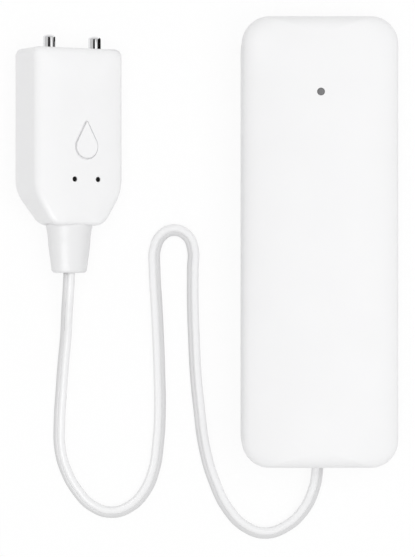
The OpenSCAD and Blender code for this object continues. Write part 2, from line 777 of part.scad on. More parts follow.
// Raised water drop, a plain sign for what the probe senses
module drop_mark() {
    touch = acos(drop_r / drop_tip);
    side = drop_r * [sin(touch), cos(touch)];
    translate([mark_x, drop_y, 0]) {
        circle(drop_r);
        polygon([[0, drop_tip], [-side.x, side.y], [side.x, side.y]]);
    }
}

// Probe housing, open at the back
module probe_shell() {
    ledge = probe_wall / 2;
    back = -probe_d / 2;
    color("white") lay_probe() {
        difference() {
            probe_body();
            translate([0, 0, back - eps]) linear_extrude(cavity_top - back + eps)
                polygon(probe_inside(probe_wall));
            for (x = [-1, 1]) {
                translate([x * pin_step / 2, pin_inner_y - eps, pin_forward]) rotate([-90, 0, 0])
                    cylinder(d = pin_d + 2 * pin_clear, h = 2 * probe_wall);
                translate([mark_x + x * dot_step / 2, dot_y, 0])
                    cylinder(d = dot_d + 2 * pin_clear, h = probe_d);
            }
            translate([0, -eps, -relief_back]) rotate([-90, 0, 0])
                cylinder(d = relief_neck_d + 2 * pin_clear, h = probe_wall + 2 * eps);
        }
        for (x = [-1, 1], y = [taper_l + ledge, pin_inner_y - pin_flange_t - 2 * ledge])
            box([2 * ledge, 2 * ledge, cavity_top - back - back_t + eps],
                [x * (probe_w / 2 - probe_wall - ledge + eps), y, back + back_t]);
        translate([0, 0, probe_front - thin]) linear_extrude(drop_h + thin) drop_mark();
    }
}

// Back plate, pressed flush into the housing, with posts under the board
module probe_back() {
    back = -probe_d / 2;
    post_y = [taper_l + board_l / 4, taper_l + board_l * 3 / 4];
    color("whitesmoke") lay_probe() {
        translate([0, 0, back]) linear_extrude(back_t) polygon(probe_inside(probe_wall + back_clear));
        for (x = [-1, 1], y = post_y)
            translate([x * pin_step / 2, y, back + back_t - eps])
                cylinder(d = pin_d, h = board_top - pcb_t - back - back_t + eps);
    }
}

module probe_board() {
    board_w = probe_w - 4 * probe_wall - 2 * thin;
    color("darkgreen") lay_probe()
        box([board_w, board_l, pcb_t], [0, taper_l + board_l / 2, board_top - pcb_t]);
}

// Turned pin: domed tip, flange behind the wall and a tail on the board
module contact_pin(side) {
    dome_r = (pow(pin_d / 2, 2) + pow(pin_dome, 2)) / (2 * pin_dome);
    tip = probe_l + pin_l + pin_dome;
    flange = pin_inner_y - pin_flange_t;
    color("silver") lay_probe() translate([side * pin_step / 2, 0, pin_forward]) rotate([-90, 0, 0]) {
        rotate_extrude()
            polygon([[0, flange - pin_tail_l], [pin_tail_d / 2, flange - pin_tail_l],
                [pin_tail_d / 2, flange], [pin_flange_d / 2, flange], [pin_flange_d / 2, pin_inner_y],
                [pin_d / 2, pin_inner_y], [pin_d / 2, probe_l + pin_l], [0, probe_l + pin_l]]);
        intersection() {
            translate([0, 0, tip - dome_r]) sphere(dome_r);
            translate([0, 0, probe_l + pin_l - thin]) cylinder(d = pin_d, h = pin_dome + 2 * thin);
        }
    }
}

module contact_pin_left() {
    contact_pin(-1);
}

module contact_pin_right() {
    contact_pin(1);
}

// Two studs from the board to the front face
module drip_contacts() {
    color("black") lay_probe() for (x = [-1, 1])
        translate([mark_x + x * dot_step / 2, dot_y, board_top])
            cylinder(d = dot_d, h = probe_front - thin - board_top);
}

// Flared sleeve that carries the cord out of the probe
module strain_relief() {
    bend_r = relief_round;
    flare = [for (i = [0:4]) let (s = i / 4)
        [relief_mid_d / 2 + (relief_top_d - relief_mid_d) / 2 * pow(1 - s, 2), -relief_flare * s]];
    rim = [for (a = [0:30:90])
        [relief_end_d / 2 - bend_r * (1 - cos(a)), -relief_l + bend_r * (1 - sin(a))]];
    bore = cord_d / 2 + cord_clear;
    collar = [[bore, relief_in_y], [relief_collar_d / 2, relief_in_y], [relief_collar_d / 2, probe_wall]];
    neck = [[relief_neck_d / 2, probe_wall], [relief_neck_d / 2, 0]];
    color("white") lay_probe() translate([0, 0, -relief_back]) rotate([-90, 0, 0]) rotate_extrude()
        polygon(concat(collar, neck, flare, rim, [[bore, -relief_l]]));
}

// Lead from the cord's end to the board inside the probe
module probe_wire(side) {
    z1 = board_top + lead_d / 2;
    x0 = side * cord_d / 4;
    x1 = mark_x + side * lead_d;
    path = [[x0, cord_start_y, -relief_back], [x0, cord_start_y + lead_d, -relief_back],
        [(x0 + x1) / 2, taper_l - lead_d, z1 + lead_d / 4], [x1, taper_l + lead_d, z1 + thin],
        [x1, taper_l + 4 * lead_d, z1 + thin]];
    lay_probe() tube(path, [for (p = path) [0, 0, 1]], lead_d / 2, 8);
}

module probe_wire_left() {
    color("firebrick") probe_wire(-1);
}

module probe_wire_right() {
    color("black") probe_wire(1);
}

// Point on the strain relief's axis as the probe lies
function relief_point(y) =
    [probe_x - relief_back * sin(probe_roll), probe_y + y, probe_z - relief_back * cos(probe_roll)];

// Whole cord: straight out of the probe, along the loose stretch and into the case
cord_route = concat(
    [relief_point(cord_start_y), relief_point(-relief_l)],
    [for (p = cord_points) [p.x, p.y, p.z + cord_d / 2]],
    [[0, -body_l / 2 - wall, cord_z], [0, cord_in_y, cord_z]]);

module sensor_cord() {
    color("white") tube(cord_route, [for (p = cord_route) [0, 0, 1]], cord_d / 2, 8);
}

front_shell();
back_cover();
battery_tray();
tray_screws();
circuit_board();
radio_module();
radio_shield();
status_led();
light_pipe();
reset_switch();
switch_plunger();
reset_button();
cell_left();
cell_right();
positive_contact();
negative_contact();
negative_spring();
bridge_contact();
bridge_spring();
lead_socket();
lead_plug();
lead_wire_left();
lead_wire_right();
sensor_cord();
strain_relief();
probe_shell();
probe_back();
probe_board();
contact_pin_left();
contact_pin_right();
drip_contacts();
probe_wire_left();
probe_wire_right();
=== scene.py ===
"""Water leak sensor: a domed battery case and a two-pin probe on a short cord, seen from straight above."""
import json
import math

import bmesh
import bpy
from mathutils import Matrix, Vector
from mathutils.kdtree import KDTree


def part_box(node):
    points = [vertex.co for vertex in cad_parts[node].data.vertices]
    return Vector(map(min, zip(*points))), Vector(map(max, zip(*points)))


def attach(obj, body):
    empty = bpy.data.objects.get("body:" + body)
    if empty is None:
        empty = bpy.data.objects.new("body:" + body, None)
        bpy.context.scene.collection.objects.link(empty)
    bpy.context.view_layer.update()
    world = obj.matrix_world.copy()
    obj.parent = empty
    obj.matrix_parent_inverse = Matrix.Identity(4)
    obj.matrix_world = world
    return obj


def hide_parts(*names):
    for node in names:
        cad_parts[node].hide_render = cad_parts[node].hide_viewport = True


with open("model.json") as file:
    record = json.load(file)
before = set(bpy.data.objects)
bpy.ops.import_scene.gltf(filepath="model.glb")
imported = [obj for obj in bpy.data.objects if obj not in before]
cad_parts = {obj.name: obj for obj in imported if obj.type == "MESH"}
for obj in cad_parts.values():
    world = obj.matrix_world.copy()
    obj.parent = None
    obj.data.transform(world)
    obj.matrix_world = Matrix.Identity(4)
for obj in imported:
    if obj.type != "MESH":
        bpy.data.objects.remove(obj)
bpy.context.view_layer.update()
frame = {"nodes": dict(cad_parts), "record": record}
MM = 0.001

# Sizes in metres that the frame's boxes don't give
WALL = 1.5 * MM
CORNER_R = 4.5 * MM
DOME_H = 4.5 * MM
DOME_END = 3.2 * MM
DOME_POWER = 2.5
SLIDE_CLEAR = 0.15 * MM
TONGUE_W = 0.7 * MM
TONGUE_T = 0.8 * MM
CORE_D = 1.3 * MM
CORE_STEP = 0.95 * MM
CORD_ROLL = math.radians(42)
CORD_D = 2.0 * MM
CORD_HALF_H = (CORE_D + CORE_STEP * math.sin(CORD_ROLL)) / 2
CORD_HOLE_D = 2.4 * MM
CORE_STEPS = 12
CORE_FIT = 0.98
CORD_FLOOR_GAP = 0.045 * MM
CORD_IN_CASE = 7.2 * MM
CORD_OVER_COVER = 1.0 * MM
LED_HOLE_D = 1.25 * MM
LED_CLEAR = 0.05 * MM
LEAD_D = 0.8 * MM
LEAD_FIT = 0.95
PLUG_PITCH = 2.0 * MM
PROBE_W = 16.2 * MM
PROBE_D = 8.8 * MM
PROBE_L = 29.3 * MM
TAPER_L = 5.6 * MM
NECK_W = 9.3 * MM
NECK_BACK_W = 7.2 * MM
END_SHARE = 0.5
PROBE_EDGE = 1.45 * MM
PROBE_BACK_EDGE = 0.6 * MM
PROBE_CROWN = 0.4 * MM
CROWN_W = 4.0 * MM
PROBE_WALL = 1.6 * MM
PROBE_FRONT_WALL = 1.2 * MM
PROBE_TOP_CORNER = 1.2 * MM
PROBE_SHOULDER = 1.8 * MM
PIN_D = 2.1 * MM
PIN_TAIL_R = 0.6 * MM
HOLE_CLEAR = 0.1 * MM
DOT_D = 0.8 * MM
MARK_X = 0.8 * MM
DROP_R = 1.9 * MM
DROP_L = 4.0 * MM
DROP_POINT = 0.1 * MM
DROP_Y = 13 * MM
DROP_H = 0.35 * MM
DROP_GROOVE_W = 0.25 * MM
DROP_GROOVE_T = 0.35 * MM
DOT_STEP = 4.3 * MM
DOT_X = (MARK_X - DOT_STEP / 2, MARK_X + DOT_STEP / 2)
DOT_Y = 7.6 * MM
RELIEF_L = 7.8 * MM
RELIEF_TOP_D = 7.8 * MM
RELIEF_SINK = 0.25 * MM
RELIEF_BACK = 0.3 * MM
RELIEF_CLEAR = 0.06 * MM
RELIEF_NECK_HOLE_D = 3.5 * MM
COLLAR_T = 1.0 * MM
SOFT_EDGE = 0.15 * MM
FINE_EDGE = 0.08 * MM
SHEET_EDGE = 0.06 * MM
BOARD_EDGE = 0.05 * MM

# Limits for merging points, for points at one place, and for taking faces as one flat face
MERGE = 0.001 * MM
NEAR = 0.01 * MM
FLAT_ANGLE = math.radians(1)

# Places worked out from the frame
case_lo, case_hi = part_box("front_shell")
case_w = case_hi.x - case_lo.x
case_l = case_hi.y - case_lo.y
case_h = case_hi.z
cover_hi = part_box("back_cover")[1]
cover_end_y = case_hi.y - CORNER_R
pipe_lo, pipe_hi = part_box("light_pipe")
led_y = (pipe_lo.y + pipe_hi.y) / 2
mounts = {m["name"]: m for m in frame["record"]["mounts"]}
probe_normal = -Vector(mounts["probe_back_face"]["axis"])
probe_roll = math.atan2(probe_normal.x, probe_normal.z)
probe_axis = Vector(mounts["probe_back_face"]["pos_m"]) + probe_normal * PROBE_D / 2
probe_foot = Vector((probe_axis.x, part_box("probe_shell")[0].y, probe_axis.z))
PROBE_SEAT = Matrix.Translation(probe_foot) @ Matrix.Rotation(probe_roll, 4, "Y")
RELIEF_SEAT = PROBE_SEAT @ Matrix.Translation((0, 0, -RELIEF_BACK))
ALONG_Y = Matrix.Rotation(math.radians(-90), 4, "X")


# Modelling by hand

def rest_selection():
    """Leaves edit mode and deselects everything."""
    if bpy.context.object and bpy.context.object.mode != "OBJECT":
        bpy.ops.object.mode_set(mode="OBJECT")
    bpy.ops.object.select_all(action="DESELECT")


def take(obj):
    """Makes one object the selected and active one."""
    rest_selection()
    obj.select_set(True)
    bpy.context.view_layer.objects.active = obj


def edit(obj, kind="FACE"):
    """Opens one piece in edit mode with nothing selected."""
    take(obj)
    bpy.ops.object.mode_set(mode="EDIT")
    bpy.ops.mesh.select_mode(type=kind)
    bpy.ops.mesh.select_all(action="DESELECT")


def pick_faces(obj, test):
    """Selects the faces whose centre and normal pass the test."""
    bm = bmesh.from_edit_mesh(obj.data)
    for face in bm.faces:
        face.select_set(False)
    for face in bm.faces:
        if test(face.calc_center_median(), face.normal):
            face.select_set(True)
    bm.select_flush_mode()
    bmesh.update_edit_mesh(obj.data)


def pick_edges(obj, test):
    """Selects the edges whose two ends pass the test."""
    bm = bmesh.from_edit_mesh(obj.data)
    for edge in bm.edges:
        if test(edge.verts[0].co, edge.verts[1].co):
            edge.select_set(True)
    bm.select_flush_mode()
    bmesh.update_edit_mesh(obj.data)


def outward(obj):
    """Merges doubles and turns the faces outwards."""
    edit(obj)
    bpy.ops.mesh.select_all(action="SELECT")
    bpy.ops.mesh.remove_doubles(threshold=MERGE)
    bpy.ops.mesh.normals_make_consistent(inside=False)
    rest_selection()


def write_place(obj, matrix=None):
    """Writes a piece's place, turn and scale into its mesh."""
    if matrix is not None:
        obj.matrix_world = matrix
    take(obj)
    bpy.ops.object.transform_apply(location=True, rotation=True, scale=True)


def block(name, low, high):
    """Cube primitive at its size and place."""
    rest_selection()
    low, high = Vector(low), Vector(high)
    bpy.ops.mesh.primitive_cube_add(size=1, location=(low + high) / 2)
    obj = bpy.context.object
    obj.name = name
    obj.scale = high - low
    write_place(obj)
    return obj


def turned(name, profile, sides=64):
    """Piece turned round +Z: a disc drawn out ring by ring along steps of radius and height."""
    radius, height = profile[0]
    rest_selection()
    bpy.ops.mesh.primitive_circle_add(vertices=sides, radius=radius, fill_type="NGON",
                                      location=(0, 0, height))
    obj = bpy.context.object
    obj.name = name
    write_place(obj)
    edit(obj)
    bpy.ops.mesh.select_all(action="SELECT")
    for next_radius, next_height in profile[1:]:
        grow = next_radius / radius
        bpy.ops.mesh.extrude_region_move(TRANSFORM_OT_translate={"value": (0, 0, next_height - height)})
        bpy.ops.transform.resize(value=(grow, grow, 1), center_override=(0, 0, next_height))
        radius, height = next_radius, next_height
    outward(obj)
    return obj


def draw_rings(obj, up, half_w, half_l, middle_y, rings, end_share=1):
    """Draws a flat end out ring by ring: inset from the sides, a share of it from the ends, height."""
    edit(obj)
    pick_faces(obj, lambda centre, normal: up * normal.z > 0.9)
    inset, height = rings[0]
    for next_inset, next_height in rings[1:]:
        grow_x = (half_w - next_inset) / (half_w - inset)
        grow_y = (half_l - end_share * next_inset) / (half_l - end_share * inset)
        bpy.ops.mesh.extrude_region_move(TRANSFORM_OT_translate={"value": (0, 0, next_height - height)})
        bpy.ops.transform.resize(value=(grow_x, grow_y, 1), center_override=(0, middle_y, next_height))
        inset, height = next_inset, next_height
    outward(obj)


def apply_modifier(obj, kind, **settings):
    """Adds one modifier and applies it."""
    take(obj)
    modifier = obj.modifiers.new(kind.lower(), kind)
    for key, value in settings.items():
        setattr(modifier, key, value)
    bpy.ops.object.modifier_apply(modifier=modifier.name)


def cut(obj, tool):
    """Cuts the tool out of the piece and throws the tool away."""
    apply_modifier(obj, "BOOLEAN", operation="DIFFERENCE", solver="EXACT", object=tool)
    bpy.data.objects.remove(tool, do_unlink=True)


def drill(obj, diameter, start, end):
    """Drills a round hole from one point to another."""
    start, end = Vector(start), Vector(end)
    tool = turned("drill", [(diameter / 2, 0), (diameter / 2, (end - start).length)], 48)
    turn = (end - start).to_track_quat("Z", "Y").to_matrix().to_4x4()
    write_place(tool, Matrix.Translation(start) @ turn)
    cut(obj, tool)


def soften(obj, width, angle=35, segments=3):
    """Breaks the sharp edges and shades the rest smooth."""
    if width:
        apply_modifier(obj, "BEVEL", width=width, segments=segments, limit_method="ANGLE",
                       angle_limit=math.radians(angle), miter_outer="MITER_ARC")
    take(obj)
    bpy.ops.object.shade_smooth_by_angle(angle=math.radians(angle))
    apply_modifier(obj, "WEIGHTED_NORMAL", keep_sharp=True)


def node_copy(node, name):
    """Copy of a CAD node with its triangles merged into faces."""
    obj = bpy.data.objects.new(name, frame["nodes"][node].data.copy())
    bpy.context.scene.collection.objects.link(obj)
    obj.data.materials.clear()
    edit(obj)
    bpy.ops.mesh.select_all(action="SELECT")
    bpy.ops.mesh.remove_doubles(threshold=MERGE)
    bpy.ops.mesh.dissolve_limited(angle_limit=FLAT_ANGLE)
    rest_selection()
    return obj


def wire(name, points, diameter, steps=8, sides=16):
    """Round wire drawn through the points, as a curve of one open spline."""
    curve = bpy.data.curves.new(name, "CURVE")
    curve.dimensions = "3D"
    spline = curve.splines.new("BEZIER")
    spline.bezier_points.add(len(points) - 1)
    for knot, place in zip(spline.bezier_points, points):
        knot.co = place
        knot.handle_left_type = "AUTO"
        knot.handle_right_type = "AUTO"
    spline.resolution_u = steps
    curve.bevel_depth = diameter / 2
    curve.bevel_resolution = sides // 4
    curve.use_fill_caps = True
    obj = bpy.data.objects.new(name, curve)
    bpy.context.scene.collection.objects.link(obj)
    return obj


def as_mesh(obj):
    """Turns a wire into a mesh piece."""
    take(obj)
    bpy.ops.object.convert(target="MESH")
    outward(obj)
    take(obj)
    bpy.ops.object.shade_smooth_by_angle(angle=math.radians(50))


def fit(obj, material, *nodes, body="unit"):
    """Gives a piece its finish and lets it stand for its CAD nodes."""
    obj.data.materials.clear()
    obj.data.materials.append(material)
    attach(obj, body)
    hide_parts(*nodes)


# Finishes

NOISE_LOW, NOISE_HIGH = 0.3, 0.7
PLASTIC_IOR = 1.5


def new_material(name):
    """Empty procedural material; returns it with its node tree, shader and object coordinates."""
    material = bpy.data.materials.new(name)
    material.use_nodes = True
    tree = material.node_tree
    shader = tree.nodes["Principled BSDF"]
    place = tree.nodes.new("ShaderNodeTexCoord")
    return material, tree, shader, place.outputs["Object"]


def noise(tree, coords, size, detail=2.0):
    """Noise whose grain is about the given size in metres."""
    node = tree.nodes.new("ShaderNodeTexNoise")
    node.inputs["Scale"].default_value = 1 / size
    node.inputs["Detail"].default_value = detail
    tree.links.new(coords, node.inputs["Vector"])
    return node.outputs["Fac"]


def spread(tree, value, low, high):
    """Maps noise to a range."""
    node = tree.nodes.new("ShaderNodeMapRange")
    node.inputs["From Min"].default_value = NOISE_LOW
    node.inputs["From Max"].default_value = NOISE_HIGH
    node.inputs["To Min"].default_value = low
    node.inputs["To Max"].default_value = high
    tree.links.new(value, node.inputs["Value"])
    return node.outputs["Result"]


def tint(tree, value, dark, light):
    """Colour between two tones."""
    node = tree.nodes.new("ShaderNodeValToRGB")
    node.color_ramp.elements[0].position = NOISE_LOW
    node.color_ramp.elements[0].color = (*dark, 1)
    node.color_ramp.elements[1].position = NOISE_HIGH
    node.color_ramp.elements[1].color = (*light, 1)
    tree.links.new(value, node.inputs["Fac"])
    return node.outputs["Color"]


def relief(tree, shader, value, height, strength):
    """Fine bump on the surface, its height in metres."""
    node = tree.nodes.new("ShaderNodeBump")
    node.inputs["Distance"].default_value = height
    node.inputs["Strength"].default_value = strength
    tree.links.new(value, node.inputs["Height"])
    tree.links.new(node.outputs["Normal"], shader.inputs["Normal"])


def moulded(name, colour, rough, grain=0.12 * MM, height=0.004 * MM, shift=0.985, strength=0.5):
    """Moulded plastic: a fine spark-eroded grain, slow tone changes and a slightly varied satin gloss."""
    material, tree, shader, coords = new_material(name)
    slow = noise(tree, coords, 9 * MM)
    fine = noise(tree, coords, grain, 3)
    tree.links.new(tint(tree, slow, [c * shift for c in colour], colour), shader.inputs["Base Color"])
    tree.links.new(spread(tree, fine, rough - 0.05, rough + 0.05), shader.inputs["Roughness"])
    relief(tree, shader, fine, height, strength)
    shader.inputs["IOR"].default_value = PLASTIC_IOR
    return material


def plated(name, colour, rough, grain=0.3 * MM):
    """Plated metal with slight tone and gloss changes and fine drawing marks."""
    material, tree, shader, coords = new_material(name)
    marks = noise(tree, coords, grain, 3)
    tree.links.new(tint(tree, marks, [c * 0.93 for c in colour], colour), shader.inputs["Base Color"])
    tree.links.new(spread(tree, marks, rough * 0.7, rough * 1.3), shader.inputs["Roughness"])
    relief(tree, shader, marks, 0.002 * MM, 0.3)
    shader.inputs["Metallic"].default_value = 1
    return material


case_white = moulded("case_white_satin", (0.87, 0.87, 0.875), 0.45)
cover_white = moulded("cover_white_satin", (0.86, 0.86, 0.865), 0.5)
inner_white = moulded("tray_white", (0.82, 0.82, 0.82), 0.5)
probe_white = moulded("probe_white_satin", (0.88, 0.88, 0.885), 0.4, grain=0.1 * MM)
relief_white = moulded("relief_soft_white", (0.80, 0.80, 0.805), 0.36, grain=0.08 * MM)
cord_white = moulded("cord_white_jacket", (0.85, 0.85, 0.855), 0.36, grain=0.2 * MM, height=0.003 * MM)
# Lower core of the cord: a darker copy of the jacket, painted shade standing for the shade of the upper core
cord_painted_shade = moulded("cord_lower_core_painted_shade", (0.67, 0.67, 0.675), 0.36, grain=0.2 * MM, height=0.003 * MM)
pin_plate = plated("pin_nickel", (0.86, 0.86, 0.87), 0.08)
spring_plate = plated("spring_nickel", (0.72, 0.71, 0.69), 0.22)
screw_plate = plated("screw_zinc", (0.62, 0.62, 0.63), 0.28)
dark_plate = plated("drip_contact_dark", (0.02, 0.02, 0.02), 0.35)
board_green = moulded("board_green_mask", (0.03, 0.16, 0.07), 0.3, grain=0.4 * MM, shift=0.85)
module_green = moulded("module_green_mask", (0.02, 0.11, 0.06), 0.3, grain=0.4 * MM, shift=0.85)
can_plate = plated("shield_can_tin", (0.66, 0.66, 0.65), 0.3)
button_grey = moulded("button_light_grey", (0.52, 0.53, 0.54), 0.45)
switch_black = moulded("switch_black", (0.025, 0.025, 0.025), 0.4, shift=0.9)
nylon = moulded("connector_nylon", (0.78, 0.75, 0.67), 0.4, shift=0.97)
lead_red = moulded("lead_red", (0.45, 0.025, 0.02), 0.35, shift=0.92)
lead_black = moulded("lead_black", (0.02, 0.02, 0.02), 0.35, shift=0.9)
smoke_window = moulded("indicator_smoke_grey", (0.205, 0.205, 0.21), 0.25, shift=0.9)


def cell_jacket(name, tip_end, middle):
    """Cell jacket: slate film with one pale band near the tip end, and a bare metal rim."""
    material, tree, shader, coords = new_material(name)
    split = tree.nodes.new("ShaderNodeSeparateXYZ")
    tree.links.new(coords, split.inputs["Vector"])
    along = tree.nodes.new("ShaderNodeMapRange")
    along.inputs["From Min"].default_value = 2 * middle - tip_end
    along.inputs["From Max"].default_value = tip_end
    tree.links.new(split.outputs["Y"], along.inputs["Value"])
    bands = tree.nodes.new("ShaderNodeValToRGB")
    bands.color_ramp.interpolation = "CONSTANT"
    base_rim, film = (0.55, 0.55, 0.55), (0.07, 0.09, 0.11)
    band, tip_rim = (0.60, 0.61, 0.60), (0.60, 0.60, 0.59)
    tones = [(0.0, base_rim), (0.02, film), (0.83, band), (0.87, film), (0.965, tip_rim)]
    ramp = bands.color_ramp.elements
    ramp[0].position, ramp[0].color = tones[0][0], (*tones[0][1], 1)
    ramp[1].position, ramp[1].color = tones[-1][0], (*tones[-1][1], 1)
    for position, tone in tones[1:-1]:
        ramp.new(position).color = (*tone, 1)
    tree.links.new(along.outputs["Result"], bands.inputs["Fac"])
    tree.links.new(bands.outputs["Color"], shader.inputs["Base Color"])
    scuffs = noise(tree, coords, 1.5 * MM, 4)
    tree.links.new(spread(tree, scuffs, 0.22, 0.36), shader.inputs["Roughness"])
    relief(tree, shader, scuffs, 0.004 * MM, 0.3)
    shader.inputs["Metallic"].default_value = 0.6
    return material


# Battery case

def pillow(name, width, length, corner, low, high, rise, steps=22):
    """Block with rounded corners whose front is drawn up and in, ring by ring, to a soft dome."""
    obj = block(name, (-width / 2, -length / 2, low), (width / 2, length / 2, high - rise))
    edit(obj, "EDGE")
    pick_edges(obj, lambda a, b: abs(a.z - b.z) > rise)
    bpy.ops.mesh.bevel(offset=corner, segments=14, profile=0.5, affect="EDGES")
    rings = [(0, high - rise)]
    for step in range(1, steps + 1):
        angle = math.radians(88.5 * step / steps)
        inset = width / 2 * (1 - math.cos(angle) ** (2 / DOME_POWER))
        rings.append((inset, high - rise + rise * math.sin(angle) ** (2 / DOME_POWER)))
    draw_rings(obj, 1, width / 2, length / 2, 0, rings, DOME_END / (width / 2))
    return obj


def make_front_shell():
    """Domed front shell: hollow, grooved for the cover and drilled for the cord and the indicator."""
    shell = pillow("case_front", case_w, case_l, CORNER_R, 0, case_h, DOME_H)
    inner_w, inner_l = case_w - 2 * WALL, case_l - 2 * WALL
    cut(shell, pillow("hollow", inner_w, inner_l, CORNER_R - WALL, -WALL, case_h - WALL, DOME_H - WALL / 2))
    groove = TONGUE_W + SLIDE_CLEAR
    groove_z = (cover_hi.z - TONGUE_T) / 2 - SLIDE_CLEAR
    for side in (-1, 1):
        middle = side * inner_w / 2
        cut(shell, block("groove", (middle - groove, -inner_l / 2 + CORNER_R, groove_z),
                         (middle + groove, case_hi.y, groove_z + TONGUE_T + 2 * SLIDE_CLEAR)))
    cut(shell, block("cover_seat", (-case_w, cover_end_y - SLIDE_CLEAR, -WALL),
                     (case_w, case_l, cover_hi.z + SLIDE_CLEAR)))
    cord_z = cord_route[-1].z
    drill(shell, CORD_HOLE_D, (0, case_lo.y - WALL, cord_z), (0, case_lo.y + 2 * WALL, cord_z))
    drill(shell, LED_HOLE_D, (0, led_y, case_h - 2 * WALL), (0, led_y, case_h + WALL))
    soften(shell, FINE_EDGE, 40, 2)
    fit(shell, case_white, "front_shell")


def make_light_pipe():
    """Smoked light pipe with a slightly crowned window and a flange behind the wall."""
    radius = LED_HOLE_D / 2 - LED_CLEAR
    flange_r = (pipe_hi.x - pipe_lo.x) / 2
    flange_gap, flange_t, crown = 0.1 * MM, 0.5 * MM, 0.06 * MM
    flange_hi = case_h - WALL - flange_gap
    flange_lo = flange_hi - flange_t
    pipe = turned("indicator_window", [
        (radius, pipe_lo.z), (radius, flange_lo), (flange_r, flange_lo), (flange_r, flange_hi),
        (radius, flange_hi), (radius, pipe_hi.z - crown), (radius * 0.8, pipe_hi.z - crown / 4),
        (radius * 0.3, pipe_hi.z)], 40)
    write_place(pipe, Matrix.Translation((0, led_y, 0)))
    soften(pipe, 0)
    fit(pipe, smoke_window, "light_pipe")


def make_inner_pieces():
    """Pieces behind the cover, kept to their CAD shape with broken edges."""
    rows = [
        ("battery_tray", inner_white, SOFT_EDGE), ("tray_screws", screw_plate, FINE_EDGE),
        ("positive_contact", spring_plate, SHEET_EDGE), ("negative_contact", spring_plate, SHEET_EDGE),
        ("bridge_contact", spring_plate, SHEET_EDGE), ("lead_socket", nylon, FINE_EDGE),
        ("lead_plug", nylon, FINE_EDGE), ("reset_switch", switch_black, FINE_EDGE),
        ("circuit_board", board_green, BOARD_EDGE), ("radio_module", module_green, BOARD_EDGE),
        ("radio_shield", can_plate, SHEET_EDGE), ("status_led", nylon, 0.04 * MM),
        ("probe_board", board_green, BOARD_EDGE),
    ]
    for node, material, width in rows:
        piece = node_copy(node, "dressed_" + node)
        soften(piece, width, 40, 2)
        fit(piece, material, node)


def make_cover():
    """Sliding back cover with broken edges and its thumb grooves."""
    cover = node_copy("back_cover", "case_back_cover")
    soften(cover, SOFT_EDGE, 40, 2)
    fit(cover, cover_white, "back_cover", body="cover")


def make_button():
    """Reset button with a dished end, and the plunger of its switch."""
    low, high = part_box("reset_button")
    middle = (low + high) / 2
    flange_r = (high.x - low.x) / 2
    stem_r, flange_t, dish = 1.6 * MM, 0.8 * MM, 0.25 * MM
    button = turned("reset_button_cap", [
        (stem_r * 0.4, low.z + dish), (stem_r * 0.75, low.z), (stem_r * 0.9, low.z), (stem_r, low.z + dish),
        (stem_r, high.z - flange_t), (flange_r, high.z - flange_t), (flange_r, high.z)], 48)
    write_place(button, Matrix.Translation((middle.x, middle.y, 0)))
    soften(button, 0.06 * MM)
    fit(button, button_grey, "reset_button", body="button")
    plunger = node_copy("switch_plunger", "switch_plunger_stem")
    soften(plunger, 0.1 * MM)
    fit(plunger, switch_black, "switch_plunger", body="button")


def make_cell(node, name, tip_up):
    """AAA cell with a crimped rim, a stepped tip and a rolled base."""
    low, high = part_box(node)
    middle = (low + high) / 2
    radius, length = (high.x - low.x) / 2, high.y - low.y
    can_l, tip_r = length - 0.8 * MM, 1.9 * MM
    cell = turned(name, [
        (radius * 0.55, 0.12 * MM), (radius * 0.62, 0), (radius * 0.88, 0), (radius - 0.12 * MM, 0.2 * MM),
        (radius, 0.5 * MM), (radius, can_l - 0.5 * MM), (radius - 0.12 * MM, can_l - 0.15 * MM),
        (radius * 0.86, can_l), (radius * 0.8, can_l - 0.2 * MM), (tip_r * 1.15, can_l - 0.2 * MM),
        (tip_r, can_l), (tip_r, length - 0.15 * MM), (tip_r * 0.88, length)], 72)
    turn = ALONG_Y if tip_up else Matrix.Rotation(math.radians(90), 4, "X")
    start = low.y if tip_up else high.y
    write_place(cell, Matrix.Translation((middle.x, start, middle.z)) @ turn)
    soften(cell, 0)
    tip_end = high.y if tip_up else low.y
    fit(cell, cell_jacket(name + "_jacket", tip_end, middle.y), node)


def make_spring(node, name, from_low):
    """Tapered coil spring drawn as one unbroken wire with straight ends."""
    low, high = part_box(node)
    wire_d, wide, narrow, turns, steps = 0.5 * MM, 3.2 * MM, 2.2 * MM, 3, 16
    cell_low, cell_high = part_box("cell_right" if from_low else "cell_left")
    centre = (cell_low + cell_high) / 2
    side = 1 if from_low else -1
    start_y = low.y if from_low else high.y
    length = high.y - low.y
    points = [Vector((wide, 0, 0))]
    for step in range(turns * steps + 1):
        share = step / (turns * steps)
        turn = 2 * math.pi * step / steps
        radius = wide + (narrow - wide) * share
        points.append(Vector((radius * math.cos(turn), wire_d + (length - 2 * wire_d) * share,
                              radius * math.sin(turn))))
    points.append(points[-1] + Vector((0, wire_d, 0)))
    spot = Vector((centre.x, start_y, centre.z))
    spring = wire(name, [spot + Vector((p.x * side, p.y * side, p.z)) for p in points], wire_d, 3, 12)
    as_mesh(spring)
    fit(spring, spring_plate, node)


# Probe

